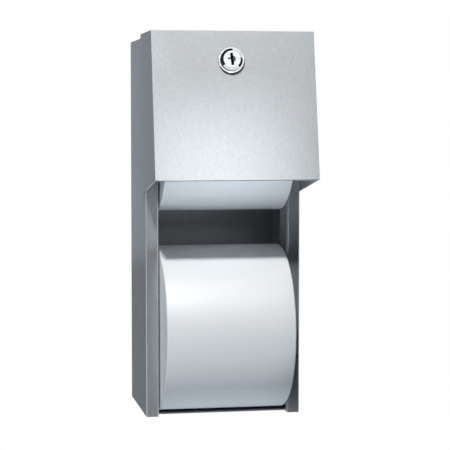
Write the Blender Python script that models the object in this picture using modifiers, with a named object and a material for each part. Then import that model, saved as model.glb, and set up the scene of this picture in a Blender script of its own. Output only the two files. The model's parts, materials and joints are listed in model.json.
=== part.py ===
"""Wall-hung twin-roll toilet paper dispenser, in metres, +Z up.

The back of the cabinet lies on the wall at Y = 0 and the front faces -Y. The
cabinet carries two rolls, one above the other, on spring-loaded spindles whose
pins stand in rails at both sides. A slanted door covers the reserve roll. It
swings forward and down on two studs, and a cam lock holds it shut.
"""
import math

import bmesh
import bpy
from mathutils import Matrix, Vector

MM = 0.001

# Rolls, which set the size of everything round them
ROLL_DIAMETER = 133.4 * MM
ROLL_WIDTH = 102.4 * MM
ROLL_EDGE = 1.0 * MM
ROLL_BACK_SPACE = 1.6 * MM
ROLL_FLOOR_SPACE = 0.7 * MM
ROLL_GAP = 28.7 * MM
ROLL_HEAD_SPACE = 4.8 * MM
ROLL_END_SPACE = 2.0 * MM
CORE_RADIUS = 22.0 * MM
CORE_WALL = 1.2 * MM
DROP_STOP = 1.7 * MM

# Cabinet
CABINET_SHEET = 0.9 * MM
BACK_SHEET = 1.0 * MM
CABINET_FOLD = 1.0 * MM
FLANGE_WIDTH = 10.0 * MM
FLANGE_RETURN = 8.0 * MM
TOP_LIP = 8.5 * MM
PAN_FRONT_GAP = 2.6 * MM
PAN_SHEET = 1.0 * MM
MOUNTING_HOLE_RADIUS = 2.6 * MM
MOUNTING_HOLE_INSET = 20.4 * MM
MOUNTING_HOLE_END = 16.0 * MM

# Clearances
SEAM = 0.3 * MM
RUNNING_GAP = 0.3 * MM
OVERRUN = 2.0 * MM

# Inner plates and spindle rails
INNER_PLATE = 1.2 * MM
INNER_PLATE_MARGIN = 3.0 * MM
RAIL_SHEET = 1.0 * MM
RAIL_FOOT = 7.0 * MM
RAIL_HEIGHT = 6.5 * MM
RAIL_FOLD = 1.2 * MM
RAIL_BELOW_PIN = 11.9 * MM
RAIL_TOP_SPACE = 12.0 * MM
RAIL_ENTRY_LIP = 2.4 * MM
RAIL_ENTRY_OPENING = 10.0 * MM
RAIL_RIVET_INSET = 22.0 * MM
RIVET_SHANK_RADIUS = 1.1 * MM
RIVET_HEAD_RADIUS = 2.0 * MM
RIVET_HEAD_HEIGHT = 0.8 * MM
SEAT_HEIGHT = 9.0 * MM

# Spindles
BARREL_RADIUS = 13.0 * MM
BARREL_WALL = 1.5 * MM
BARREL_END_GAP = 1.2 * MM
BARREL_SPLIT = 12.0 * MM
PIN_RADIUS = 4.2 * MM
PLUNGER_WALL = 1.6 * MM
PLUNGER_HEAD = 6.0 * MM
PLUNGER_OVERLAP = 30.0 * MM
SPINDLE_SPRING_SPACE = 1.6 * MM
SPINDLE_SPRING_WIRE = 0.6 * MM
SPINDLE_SPRING_TURNS = 10

# Retaining pawls
PAWL_REACH = 20.0 * MM
PAWL_LENGTH = 24.0 * MM
PAWL_HUB_RADIUS = 4.6 * MM
PAWL_ARM_HEIGHT = 5.0 * MM
PAWL_THICKNESS = 2.4 * MM
PAWL_PIN_RADIUS = 2.0 * MM
PAWL_PIN_HEAD_RADIUS = 3.4 * MM
PAWL_PIN_HEAD = 1.0 * MM
PAWL_SLOT_MARGIN = 2.0 * MM
PAWL_SPRING_WIRE = 0.4 * MM
PAWL_SPRING_TURNS = 1
PAWL_SWING = math.radians(88.0)

# Door
DOOR_SHEET = 0.8 * MM
DOOR_FOLD = 0.9 * MM
DOOR_HEIGHT_GAP = 2.2 * MM
DOOR_ROLL_SPACE = 1.8 * MM
DOOR_FRONT_LEAN = 22.2 * MM
DOOR_REAR_LEAN = 9.2 * MM
DOOR_FRONT_COVER_SHARE = 0.5862
DOOR_REAR_COVER_SHARE = 0.7901
DOOR_HEM = 5.0 * MM
DOOR_HEM_NOTCH = 2.0 * MM
PIVOT_INSET = 6.1 * MM
PIVOT_RISE = 9.2 * MM
STUD_RADIUS = 3.0 * MM
STUD_TIP = 1.5 * MM
RETAINER_RADIUS = 5.8 * MM
RETAINER_THICKNESS = 1.0 * MM
RETAINER_SPACE = 1.6 * MM
PIVOT_FRONT_SPACE = 7.0 * MM

# Lock
LOCK_SIDE = -2.4 * MM
LOCK_DROP_SHARE = 0.3403
LOCK_FLANGE_RADIUS = 9.2 * MM
LOCK_FLANGE_HEIGHT = 1.8 * MM
LOCK_STEP_RADIUS = 8.6 * MM
LOCK_FACE_RADIUS = 6.6 * MM
LOCK_HEAD_HEIGHT = 4.4 * MM
LOCK_BODY_RADIUS = 7.4 * MM
LOCK_BODY_DEPTH = 15.0 * MM
LOCK_NUT_RADIUS = 10.5 * MM
LOCK_NUT_THICKNESS = 2.6 * MM
PLUG_RADIUS = 5.4 * MM
PLUG_TAIL_RADIUS = 3.2 * MM
KEYWAY_HEIGHT = 8.2 * MM
KEYWAY_WIDTH = 1.3 * MM
KEYWAY_DEPTH = 9.0 * MM
KEYWAY_WARD = 3.0 * MM
KEYWAY_WARD_HEIGHT = 1.3 * MM
KEYWAY_DISH_RADIUS = 2.3 * MM
KEYWAY_DISH_DEPTH = 1.2 * MM
KEYWAY_TILT = math.radians(5.0)
CAM_THICKNESS = 1.6 * MM
CAM_WIDTH = 9.0 * MM
CAM_LENGTH = 15.5 * MM
CAM_SCREW_RADIUS = 1.4 * MM
CAM_SCREW_HEAD_RADIUS = 3.2 * MM
CAM_SCREW_HEAD = 1.4 * MM
CAM_SCREW_LENGTH = 5.0 * MM
CATCH_WIDTH = 20.0 * MM
CATCH_SHEET = 0.9 * MM
CATCH_FOLD = 1.0 * MM
CATCH_FOOT = 4.6 * MM
CATCH_DROP = 5.0 * MM
CATCH_LIP = 9.5 * MM
CATCH_CAM_GAP = 1.2 * MM
CATCH_RIVET_SPREAD = 6.0 * MM
CATCH_RIVET_SHANK = 0.9 * MM
CATCH_RIVET_HEAD = 1.4 * MM

# Fineness of round shapes
ROLL_STEPS = 96
ROUND_STEPS = 32
SMALL_STEPS = 20
EDGE_STEPS = 3
FOLD_STEPS = 2
COIL_POINTS = 9
WIRE_FINENESS = 1

# Sizes that follow from the ones above
ROLL_RADIUS = ROLL_DIAMETER / 2
HALF_ROLL = ROLL_WIDTH / 2
ROLL_DEPTH = BACK_SHEET + ROLL_BACK_SPACE + ROLL_RADIUS
LOWER_ROLL_HEIGHT = PAN_SHEET + ROLL_FLOOR_SPACE + ROLL_RADIUS
RESERVE_ROLL_HEIGHT = LOWER_ROLL_HEIGHT + ROLL_DIAMETER + ROLL_GAP
RESERVE_DROP = ROLL_GAP - DROP_STOP
HALF_CABINET = HALF_ROLL + ROLL_END_SPACE + RAIL_HEIGHT + 2 * SEAM + INNER_PLATE + CABINET_SHEET
CABINET_HEIGHT = RESERVE_ROLL_HEIGHT + ROLL_RADIUS + ROLL_HEAD_SPACE
RAIL_SIDE = PIN_RADIUS + 2 * RUNNING_GAP
PIVOT_DEPTH = ROLL_DEPTH + RAIL_SIDE + RAIL_SHEET + RAIL_FOOT + RETAINER_SPACE + RETAINER_RADIUS
CABINET_DEPTH = PIVOT_DEPTH + PIVOT_FRONT_SPACE
PAN_DEPTH = CABINET_DEPTH - FLANGE_RETURN - PAN_FRONT_GAP
MOUNTING_HOLE_SIDE = HALF_CABINET - MOUNTING_HOLE_INSET
WALL_INNER = HALF_CABINET - CABINET_SHEET
PLATE_OUTER = WALL_INNER - SEAM
PLATE_INNER = PLATE_OUTER - INNER_PLATE
RAIL_OUTER = PLATE_INNER - SEAM
RAIL_INNER = RAIL_OUTER - RAIL_HEIGHT
RAIL_FOOT_INNER = RAIL_OUTER - RAIL_SHEET
PIN_END = PLATE_INNER - 2 * RUNNING_GAP
BARREL_END = HALF_ROLL - BARREL_END_GAP
CORE_INNER = CORE_RADIUS - CORE_WALL
PLUNGER_TUBE = BARREL_RADIUS - BARREL_WALL - RUNNING_GAP
PLUNGER_BORE = PLUNGER_TUBE - PLUNGER_WALL
SPINDLE_SPRING_RADIUS = PLUNGER_BORE - SPINDLE_SPRING_SPACE - SPINDLE_SPRING_WIRE
SPINDLE_RISE = CORE_INNER - BARREL_RADIUS - RUNNING_GAP
LOWER_SPINDLE_HEIGHT = LOWER_ROLL_HEIGHT + SPINDLE_RISE
RESERVE_SPINDLE_HEIGHT = RESERVE_ROLL_HEIGHT + SPINDLE_RISE
RAIL_LOW_END = LOWER_SPINDLE_HEIGHT - RAIL_BELOW_PIN
RAIL_TOP_END = CABINET_HEIGHT - RAIL_TOP_SPACE
PAWL_OUTER = RAIL_FOOT_INNER - RIVET_HEAD_HEIGHT - 2 * RUNNING_GAP
PAWL_INNER = PAWL_OUTER - PAWL_THICKNESS
PAWL_PIVOT_DEPTH = ROLL_DEPTH - PAWL_REACH
PAWL_TOP = RESERVE_SPINDLE_HEIGHT - PIN_RADIUS - RUNNING_GAP
PAWL_PIVOT_HEIGHT = PAWL_TOP - PAWL_ARM_HEIGHT / 2
DOOR_TOP = CABINET_HEIGHT + DOOR_HEIGHT_GAP + DOOR_SHEET
DOOR_INNER = HALF_CABINET + SEAM
DOOR_OUTER = DOOR_INNER + DOOR_SHEET
DOOR_FRONT_TOP_DEPTH = ROLL_DEPTH + ROLL_RADIUS + DOOR_ROLL_SPACE
DOOR_FRONT_LOW_DEPTH = DOOR_FRONT_TOP_DEPTH + DOOR_FRONT_LEAN
DOOR_FRONT_LOW_HEIGHT = RESERVE_ROLL_HEIGHT - ROLL_RADIUS * DOOR_FRONT_COVER_SHARE
DOOR_REAR_LOW_DEPTH = PIVOT_DEPTH - PIVOT_INSET
DOOR_REAR_TOP_DEPTH = DOOR_REAR_LOW_DEPTH - DOOR_REAR_LEAN
DOOR_REAR_LOW_HEIGHT = RESERVE_ROLL_HEIGHT - ROLL_RADIUS * DOOR_REAR_COVER_SHARE
PIVOT_HEIGHT = DOOR_REAR_LOW_HEIGHT + PIVOT_RISE
DOOR_SLANT = math.atan2(DOOR_FRONT_LOW_DEPTH - DOOR_FRONT_TOP_DEPTH, DOOR_TOP - DOOR_FRONT_LOW_HEIGHT)
LOCK_DROP = ROLL_RADIUS * LOCK_DROP_SHARE
LOCK_HEIGHT = DOOR_TOP - LOCK_DROP
LOCK_DEPTH = DOOR_FRONT_TOP_DEPTH + LOCK_DROP * math.tan(DOOR_SLANT)
CAM_FRONT = LOCK_BODY_DEPTH + RUNNING_GAP
WALL_MIDDLE = CABINET_HEIGHT / 2

MODEL = "twin_roll_dispenser"
ALONG_X = Matrix.Rotation(math.pi / 2, 4, "Y")
SIDEWAYS = Matrix(((0, 0, 1, 0), (1, 0, 0, 0), (0, 1, 0, 0), (0, 0, 0, 1)))
FACING_FRONT = Matrix(((1, 0, 0, 0), (0, 0, -1, 0), (0, 1, 0, 0), (0, 0, 0, 1)))


# Scene, materials and placing

def clear_scene():
    """Remove every object of the scene, so that the model starts from nothing."""
    for old in list(bpy.data.objects):
        bpy.data.objects.remove(old, do_unlink=True)


def new_collection(name):
    """Add a collection to the scene."""
    collection = bpy.data.collections.new(name)
    bpy.context.scene.collection.children.link(collection)
    return collection


def material(name, color, metallic, roughness):
    """A Principled material with the part's colour and gloss."""
    made = bpy.data.materials.new(name)
    made.use_nodes = True
    shader = made.node_tree.nodes["Principled BSDF"]
    shader.inputs["Base Color"].default_value = (*color, 1.0)
    shader.inputs["Metallic"].default_value = metallic
    shader.inputs["Roughness"].default_value = roughness
    return made


clear_scene()
PARTS = new_collection(MODEL)
CUTTERS = new_collection("cutters")
SATIN_STEEL = material("satin_stainless_steel", (0.55, 0.58, 0.60), 1.0, 0.35)
PLAIN_STEEL = material("zinc_plated_steel", (0.45, 0.46, 0.47), 1.0, 0.45)
CHROME = material("chrome_plated_zinc", (0.80, 0.81, 0.82), 1.0, 0.08)
SPRING_STEEL = material("spring_steel", (0.35, 0.36, 0.38), 1.0, 0.3)
ABS = material("moulded_abs", (0.70, 0.71, 0.72), 0.0, 0.5)
TISSUE = material("tissue_paper", (0.88, 0.88, 0.87), 0.0, 0.95)
BOARD = material("grey_cardboard", (0.45, 0.38, 0.30), 0.0, 0.9)


def add_object(name, data, finish, collection=None):
    """Make an object from its mesh or curve, with its material, in the model's collection."""
    made = bpy.data.objects.new(name, data)
    (collection or PARTS).objects.link(made)
    if finish:
        data.materials.append(finish)
    return made


def finish_mesh(name, shape, finish, collection=None):
    """Turn a bmesh into an object."""
    mesh = bpy.data.meshes.new(name)
    shape.to_mesh(mesh)
    shape.free()
    return add_object(name, mesh, finish, collection)


def axis_empty(name, location, turn=0.0):
    """An empty on a joint's axis, turned about X."""
    empty = bpy.data.objects.new(name, None)
    PARTS.objects.link(empty)
    empty.location = location
    empty.rotation_euler = (turn, 0.0, 0.0)
    return empty


def hang_on(piece, empty):
    """Parent a piece that was modelled in world coordinates to its joint's empty."""
    piece.data.transform(Matrix.Translation(-empty.location))
    piece.parent = empty
    return piece


def carry(piece, empty):
    """Parent a piece that was modelled in the empty's own coordinates."""
    piece.parent = empty
    return piece


def smooth(piece):
    """Shade a round piece smooth, with its sharp edges kept."""
    piece.data.shade_smooth()
    piece.data.set_sharp_from_angle(angle=math.radians(35.0))
    return piece


# Shapes

def box_mesh(low, high):
    """A box between two corners."""
    shape = bmesh.new()
    bmesh.ops.create_cube(shape, size=1.0)
    low, high = Vector(low), Vector(high)
    size = high - low
    bmesh.ops.scale(shape, vec=size, verts=shape.verts)
    bmesh.ops.translate(shape, vec=(low + high) / 2, verts=shape.verts)
    return shape


def cylinder_mesh(radius, length, steps, matrix):
    """A closed cylinder centred on its own origin, placed by a matrix."""
    shape = bmesh.new()
    bmesh.ops.create_cone(shape, cap_ends=True, segments=steps, radius1=radius, radius2=radius,
                          depth=length, matrix=matrix)
    return shape


def as_tool(name, shape):
    """An object that only cuts or joins others, and isn't a part itself."""
    tool = finish_mesh(name, shape, None, CUTTERS)
    tool.hide_render = True
    tool.display_type = "WIRE"
    return tool


def apply_tool(piece, tool, operation):
    """Cut a piece by a tool, or join the tool to it."""
    change = piece.modifiers.new(tool.name, "BOOLEAN")
    change.operation = operation
    change.solver = "EXACT"
    change.object = tool
    return piece


def cut(piece, name, shape):
    """Take a shape away from a piece."""
    return apply_tool(piece, as_tool(name, shape), "DIFFERENCE")


def join(piece, name, shape):
    """Add a shape to a piece."""
    return apply_tool(piece, as_tool(name, shape), "UNION")


def folded_sheet(name, profile, sweep, low, high, thickness, fold, outer_is_right, finish):
    """Sweep an open profile along X or Z, round its folds and give it the sheet's thickness.

    The profile lies on the sheet's outer face. Seen against the sweep's direction, that
    face is on the right of the profile, or on the left where outer_is_right is False.
    """
    shape = bmesh.new()
    if sweep == "Z":
        points = [Vector((u, v, low)) for u, v in profile]
        way = Vector((0.0, 0.0, high - low))
    else:
        points = [Vector((low, u, v)) for u, v in profile]
        way = Vector((high - low, 0.0, 0.0))
    corners = [shape.verts.new(point) for point in points]
    edges = [shape.edges.new(pair) for pair in zip(corners, corners[1:])]
    swept = bmesh.ops.extrude_edge_only(shape, edges=edges)["geom"]
    bmesh.ops.translate(shape, vec=way, verts=[item for item in swept if isinstance(item, bmesh.types.BMVert)])
    shape.normal_update()
    outward = (points[1] - points[0]).cross(way)
    if not outer_is_right:
        outward.negate()
    shape.faces.ensure_lookup_table()
    first = min(shape.faces, key=lambda face: (face.calc_center_median() - (points[0] + points[1] + way) / 2).length)
    if first.normal.dot(outward) < 0:
        bmesh.ops.reverse_faces(shape, faces=shape.faces)
    folds = [edge for edge in shape.edges if len(edge.link_faces) == 2]
    bmesh.ops.bevel(shape, geom=folds, offset=fold, segments=FOLD_STEPS, profile=0.5, affect="EDGES", material=-1)
    piece = finish_mesh(name, shape, finish)
    wall = piece.modifiers.new("sheet", "SOLIDIFY")
    wall.thickness = thickness
    wall.offset = -1.0
    wall.use_even_offset = True
    return piece


def turned(name, profile, steps, finish, closed=False, matrix=None):
    """Turn a profile of (radius, height) points about Z. It runs down its outer side."""
    shape = bmesh.new()
    points = [shape.verts.new((radius, 0.0, height)) for radius, height in profile]
    pairs = list(zip(points, points[1:]))
    if closed:
        pairs.append((points[-1], points[0]))
    for pair in pairs:
        shape.edges.new(pair)
    piece = finish_mesh(name, shape, finish)
    spin = piece.modifiers.new("turn", "SCREW")
    spin.axis = "Z"
    spin.angle = math.tau
    spin.steps = steps
    spin.render_steps = steps
    spin.use_merge_vertices = True
    spin.merge_threshold = 0.000001
    spin.use_smooth_shade = True
    if matrix:
        piece.matrix_local = matrix
    return piece


def circle_points(center, radius, steps, start=0.0, sweep=math.tau):
    """Points on a circle or, with a shorter sweep, on an arc with both of its ends."""
    whole = abs(sweep) >= math.tau
    parts = steps if whole else steps - 1
    angles = [start + sweep * index / parts for index in range(steps)]
    return [(center[0] + radius * math.cos(a), center[1] + radius * math.sin(a)) for a in angles]


def rectangle_points(low, high):
    """The corners of a rectangle."""
    return [(low[0], low[1]), (high[0], low[1]), (high[0], high[1]), (low[0], high[1])]


def flat_piece(name, outlines, thickness, matrix, finish):
    """A plate from a flat outline and its holes, as thick as given, its middle at the matrix."""
    curve = bpy.data.curves.new(name, "CURVE")
    curve.dimensions = "2D"
    curve.fill_mode = "BOTH"
    curve.extrude = thickness / 2
    for outline in outlines:
        spline = curve.splines.new("POLY")
        spline.points.add(len(outline) - 1)
        for point, (u, v) in zip(spline.points, outline):
            point.co = (u, v, 0.0, 1.0)
        spline.use_cyclic_u = True
    return curve_to_piece(name, curve, matrix, finish)


def curve_to_piece(name, curve, matrix, finish):
    """Make a curve a closed mesh, with its caps welded on."""
    holder = bpy.data.objects.new(name + "_curve", curve)
    CUTTERS.objects.link(holder)
    bpy.context.view_layer.update()
    evaluated = holder.evaluated_get(bpy.context.evaluated_depsgraph_get())
    mesh = bpy.data.meshes.new_from_object(evaluated)
    bpy.data.objects.remove(holder, do_unlink=True)
    shape = bmesh.new()
    shape.from_mesh(mesh)
    bmesh.ops.remove_doubles(shape, verts=shape.verts, dist=0.000001)
    bmesh.ops.recalc_face_normals(shape, faces=shape.faces)
    bmesh.ops.transform(shape, matrix=matrix, verts=shape.verts)
    shape.to_mesh(mesh)
    shape.free()
    mesh.name = name
    return add_object(name, mesh, finish)


def wire_piece(name, points, radius, matrix, finish):
    """A round wire through points."""
    curve = bpy.data.curves.new(name, "CURVE")
    curve.dimensions = "3D"
    curve.bevel_depth = radius
    curve.bevel_resolution = WIRE_FINENESS
    curve.use_fill_caps = True
    spline = curve.splines.new("POLY")
    spline.points.add(len(points) - 1)
    for point, place in zip(spline.points, points):
        point.co = (*place, 1.0)
    return curve_to_piece(name, curve, matrix, finish)


def coil(radius, low, high, turns):
    """Points along a coil about Z, from one height to the other."""
    count = turns * COIL_POINTS
    points = []
    for index in range(count + 1):
        angle = math.tau * index / COIL_POINTS
        height = low + (high - low) * index / count
        points.append((radius * math.cos(angle), radius * math.sin(angle), height))
    return points


def report_gap(name, points, wire_radius):
    """Print the least gap between one turn of a coil and the next."""
    least = min((Vector(first) - Vector(second)).length for first, second in zip(points, points[COIL_POINTS:]))
    print(name, "least gap to itself", round((least - 2 * wire_radius) / MM, 2), "mm")


def rounded_ring(outer, inner, half_length, edge):
    """Profile of a tube with rounded outer corners, as a closed loop."""
    top = [(outer - edge + edge * math.sin(a), half_length - edge + edge * math.cos(a))
           for a in [math.pi / 2 * index / EDGE_STEPS for index in range(EDGE_STEPS + 1)]]
    bottom = [(radius, -height) for radius, height in reversed(top)]
    return top + bottom + [(inner, -half_length), (inner, half_length)]


def square_ring(outer, inner, low, high):
    """Profile of a plain tube, as a closed loop."""
    return [(outer, high), (outer, low), (inner, low), (inner, high)]


# Cabinet

def side_name(side):
    """The name of a side: -1 is the left one, seen from the front."""
    return "left" if side < 0 else "right"


def side_panel(side):
    """A side wall with its front flange, the flange's return and the hole for the door's stud."""
    outer = side * HALF_CABINET
    inner = side * (HALF_CABINET - FLANGE_WIDTH)
    profile = [
        (outer, 0.0),
        (outer, -CABINET_DEPTH),
        (inner, -CABINET_DEPTH),
        (inner, -CABINET_DEPTH + FLANGE_RETURN),
    ]
    name = side_name(side)
    panel = folded_sheet(name + "_side_panel", profile, "Z", 0.0, CABINET_HEIGHT, CABINET_SHEET,
                         CABINET_FOLD, side < 0, SATIN_STEEL)
    low = CABINET_HEIGHT - CABINET_SHEET - SEAM
    notch_sides = sorted((side * (HALF_CABINET - FLANGE_WIDTH - OVERRUN), side * WALL_INNER))
    notch = box_mesh(
        (notch_sides[0] + (SEAM if side < 0 else 0.0), -CABINET_DEPTH + CABINET_SHEET, low),
        (notch_sides[1] - (SEAM if side > 0 else 0.0), -CABINET_DEPTH + FLANGE_RETURN + OVERRUN,
         CABINET_HEIGHT + OVERRUN),
    )
    cut(panel, name + "_return_notch", notch)
    cut(panel, name + "_panel_stud_hole", stud_hole(side))
    return panel


def stud_hole(side):
    """The bore for a door stud through one side of the cabinet."""
    place = Matrix.Translation((side * HALF_CABINET, -PIVOT_DEPTH, PIVOT_HEIGHT)) @ ALONG_X
    return cylinder_mesh(STUD_RADIUS + RUNNING_GAP, 2 * (HALF_CABINET - RAIL_INNER), ROUND_STEPS, place)


def back_panel():
    """The back, with the four holes that take the wall screws."""
    edge = WALL_INNER - SEAM
    outlines = [rectangle_points((-edge, 0.0), (edge, CABINET_HEIGHT))]
    for side in (-MOUNTING_HOLE_SIDE, MOUNTING_HOLE_SIDE):
        for height in (MOUNTING_HOLE_END, CABINET_HEIGHT - MOUNTING_HOLE_END):
            outlines.append(circle_points((side, height), MOUNTING_HOLE_RADIUS, SMALL_STEPS))
    place = Matrix.Translation((0.0, -BACK_SHEET / 2, 0.0)) @ FACING_FRONT
    return flat_piece("back_panel", outlines, BACK_SHEET, place, SATIN_STEEL)


def top_panel():
    """The top, folded down in front between the side flanges."""
    edge = WALL_INNER - SEAM
    profile = [
        (-BACK_SHEET - SEAM, CABINET_HEIGHT),
        (-CABINET_DEPTH, CABINET_HEIGHT),
        (-CABINET_DEPTH, CABINET_HEIGHT - TOP_LIP),
    ]
    panel = folded_sheet("top_panel", profile, "X", -edge, edge, CABINET_SHEET, CABINET_FOLD, True, SATIN_STEEL)
    lip_edge = HALF_CABINET - FLANGE_WIDTH - SEAM
    for side in (-1, 1):
        sides = sorted((side * lip_edge, side * (HALF_CABINET + OVERRUN)))
        relief = box_mesh(
            (sides[0], -CABINET_DEPTH - OVERRUN, CABINET_HEIGHT - TOP_LIP - OVERRUN),
            (sides[1], -CABINET_DEPTH + CABINET_SHEET + SEAM, CABINET_HEIGHT + OVERRUN),
        )
        cut(panel, side_name(side) + "_lip_relief", relief)
    for side in (-CATCH_RIVET_SPREAD, CATCH_RIVET_SPREAD):
        place = Matrix.Translation((LOCK_SIDE + side, -CABINET_DEPTH, catch_rivet_height()))
        place = place @ Matrix.Rotation(math.pi / 2, 4, "X")
        hole = cylinder_mesh(CATCH_RIVET_SHANK + SEAM, 2 * CABINET_SHEET + OVERRUN, SMALL_STEPS, place)
        cut(panel, "lip_rivet_hole", hole)
    return panel


def bottom_pan():
    """The floor of the cabinet, behind the flange returns."""
    edge = WALL_INNER - SEAM
    pan = box_mesh((-edge, -PAN_DEPTH, 0.0), (edge, -BACK_SHEET - SEAM, PAN_SHEET))
    return finish_mesh("bottom_pan", pan, SATIN_STEEL)


# Inner plates, rails and seats

def rail_faces():
    """Depths of the faces of the front and rear rails that guide the pins."""
    return {"front": -ROLL_DEPTH - RAIL_SIDE, "rear": -ROLL_DEPTH + RAIL_SIDE}


def rivet_depth(rail):
    """Depth of the rivets in a rail's foot."""
    way = -1.0 if rail == "front" else 1.0
    return rail_faces()[rail] + way * (RAIL_SHEET + RAIL_FOOT) / 2


def rivet_heights():
    """Heights of the two rivets of a rail."""
    return (RAIL_LOW_END + RAIL_RIVET_INSET, RAIL_TOP_END - RAIL_RIVET_INSET)


def inner_plate(side):
    """The plate along a side wall that carries the rails, the pawl and the door's stud."""
    low = (-CABINET_DEPTH + CABINET_SHEET + SEAM, INNER_PLATE_MARGIN)
    high = (-BACK_SHEET - SEAM, CABINET_HEIGHT - INNER_PLATE_MARGIN)
    outlines = [
        rectangle_points(low, high),
        circle_points((-PIVOT_DEPTH, PIVOT_HEIGHT), STUD_RADIUS + RUNNING_GAP, ROUND_STEPS),
        circle_points((-PAWL_PIVOT_DEPTH, PAWL_PIVOT_HEIGHT), PAWL_PIN_RADIUS + SEAM, SMALL_STEPS),
    ]
    for rail in ("front", "rear"):
        for height in rivet_heights():
            outlines.append(circle_points((rivet_depth(rail), height), RIVET_SHANK_RADIUS + SEAM, SMALL_STEPS))
    middle = side * (PLATE_OUTER + PLATE_INNER) / 2
    place = Matrix.Translation((middle, 0.0, 0.0)) @ SIDEWAYS
    return flat_piece(side_name(side) + "_inner_plate", outlines, INNER_PLATE, place, PLAIN_STEEL)


def rail(side, which):
    """One angle rail. The front one has the entry for the pins, the rear one the pawl's slot."""
    face = rail_faces()[which]
    way = -1.0 if which == "front" else 1.0
    foot_edge = face + way * (RAIL_SHEET + RAIL_FOOT)
    profile = [
        (side * RAIL_INNER, face),
        (side * RAIL_OUTER, face),
        (side * RAIL_OUTER, foot_edge),
    ]
    outer_is_right = side * way > 0
    name = side_name(side) + "_" + which + "_rail"
    piece = folded_sheet(name, profile, "Z", RAIL_LOW_END, RAIL_TOP_END, RAIL_SHEET, RAIL_FOLD,
                         outer_is_right, PLAIN_STEEL)
    if which == "front":
        low = RESERVE_SPINDLE_HEIGHT - PIN_RADIUS + RAIL_ENTRY_LIP
        high = low + RAIL_ENTRY_OPENING
    else:
        low = PAWL_PIVOT_HEIGHT - PAWL_LENGTH - PAWL_ARM_HEIGHT / 2 - PAWL_SLOT_MARGIN
        high = PAWL_TOP + PAWL_SLOT_MARGIN
    sides = sorted((side * (RAIL_INNER - OVERRUN), side * (RAIL_FOOT_INNER - RUNNING_GAP)))
    depths = sorted((face - way * OVERRUN, face + way * (RAIL_SHEET + OVERRUN)))
    cut(piece, name + "_opening", box_mesh((sides[0], depths[0], low), (sides[1], depths[1], high)))
    for height in rivet_heights():
        place = Matrix.Translation((side * RAIL_OUTER, rivet_depth(which), height)) @ ALONG_X
        hole = cylinder_mesh(RIVET_SHANK_RADIUS + SEAM, 2 * RAIL_SHEET + OVERRUN, SMALL_STEPS, place)
        cut(piece, name + "_rivet_hole", hole)
    return piece


def rivet(name, head, shank, grip, place):
    """A pan-head rivet along Z: its head stands on zero, and its shank runs down by the grip."""
    profile = [
        (0.0, RIVET_HEAD_HEIGHT),
        (head - RIVET_HEAD_HEIGHT / 2, RIVET_HEAD_HEIGHT),
        (head, RIVET_HEAD_HEIGHT / 2),
        (head, 0.0),
        (shank, 0.0),
        (shank, -grip),
        (0.0, -grip),
    ]
    return turned(name, profile, SMALL_STEPS, PLAIN_STEEL, matrix=place)


def rail_rivets(side, which):
    """The two rivets that hold a rail to its inner plate."""
    grip = RAIL_SHEET + SEAM + INNER_PLATE
    names = ("lower", "upper")
    for level, height in zip(names, rivet_heights()):
        name = "_".join((side_name(side), which, "rail", level, "rivet"))
        place = Matrix.Translation((side * (RAIL_FOOT_INNER - SEAM), rivet_depth(which), height))
        place = place @ Matrix.Rotation(-side * math.pi / 2, 4, "Y")
        rivet(name, RIVET_HEAD_RADIUS, RIVET_SHANK_RADIUS, grip, place)


def spindle_seat(side):
    """The moulded cradle between two rails that carries a pin of the lower spindle."""
    faces = rail_faces()
    low = LOWER_SPINDLE_HEIGHT - PIN_RADIUS - SEAT_HEIGHT
    sides = sorted((side * RAIL_INNER, side * (PLATE_INNER - SEAM)))
    seat = box_mesh((sides[0], faces["front"] + SEAM, low), (sides[1], faces["rear"] - SEAM, LOWER_SPINDLE_HEIGHT))
    name = side_name(side) + "_spindle_seat"
    piece = finish_mesh(name, seat, ABS)
    place = Matrix.Translation((side * RAIL_INNER, -ROLL_DEPTH, LOWER_SPINDLE_HEIGHT)) @ ALONG_X
    cradle = cylinder_mesh(PIN_RADIUS + RUNNING_GAP, 4 * RAIL_HEIGHT, ROUND_STEPS, place)
    cut(piece, name + "_cradle", cradle)
    return piece


# Spindles and rolls

def spindle_barrel(name, axis):
    """The outer half of a spindle: a closed tube with the left pin."""
    bore = BARREL_RADIUS - BARREL_WALL
    profile = [
        (0.0, -BARREL_END + BARREL_WALL),
        (bore, -BARREL_END + BARREL_WALL),
        (bore, BARREL_SPLIT),
        (BARREL_RADIUS, BARREL_SPLIT),
        (BARREL_RADIUS, -BARREL_END),
        (PIN_RADIUS, -BARREL_END),
        (PIN_RADIUS, -PIN_END),
        (0.0, -PIN_END),
    ]
    return carry(turned(name, profile, ROUND_STEPS, ABS, matrix=ALONG_X), axis)


def spindle_plunger(name, axis):
    """The inner half of a spindle: a tube that slides in the barrel, with the right pin."""
    profile = [
        (0.0, PIN_END),
        (PIN_RADIUS, PIN_END),
        (PIN_RADIUS, BARREL_END),
        (BARREL_RADIUS, BARREL_END),
        (BARREL_RADIUS, BARREL_END - PLUNGER_HEAD),
        (PLUNGER_TUBE, BARREL_END - PLUNGER_HEAD),
        (PLUNGER_TUBE, BARREL_SPLIT - PLUNGER_OVERLAP),
        (PLUNGER_BORE, BARREL_SPLIT - PLUNGER_OVERLAP),
        (PLUNGER_BORE, BARREL_END - PLUNGER_HEAD),
        (0.0, BARREL_END - PLUNGER_HEAD),
    ]
    return carry(turned(name, profile, ROUND_STEPS, ABS, matrix=ALONG_X), axis)


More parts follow.
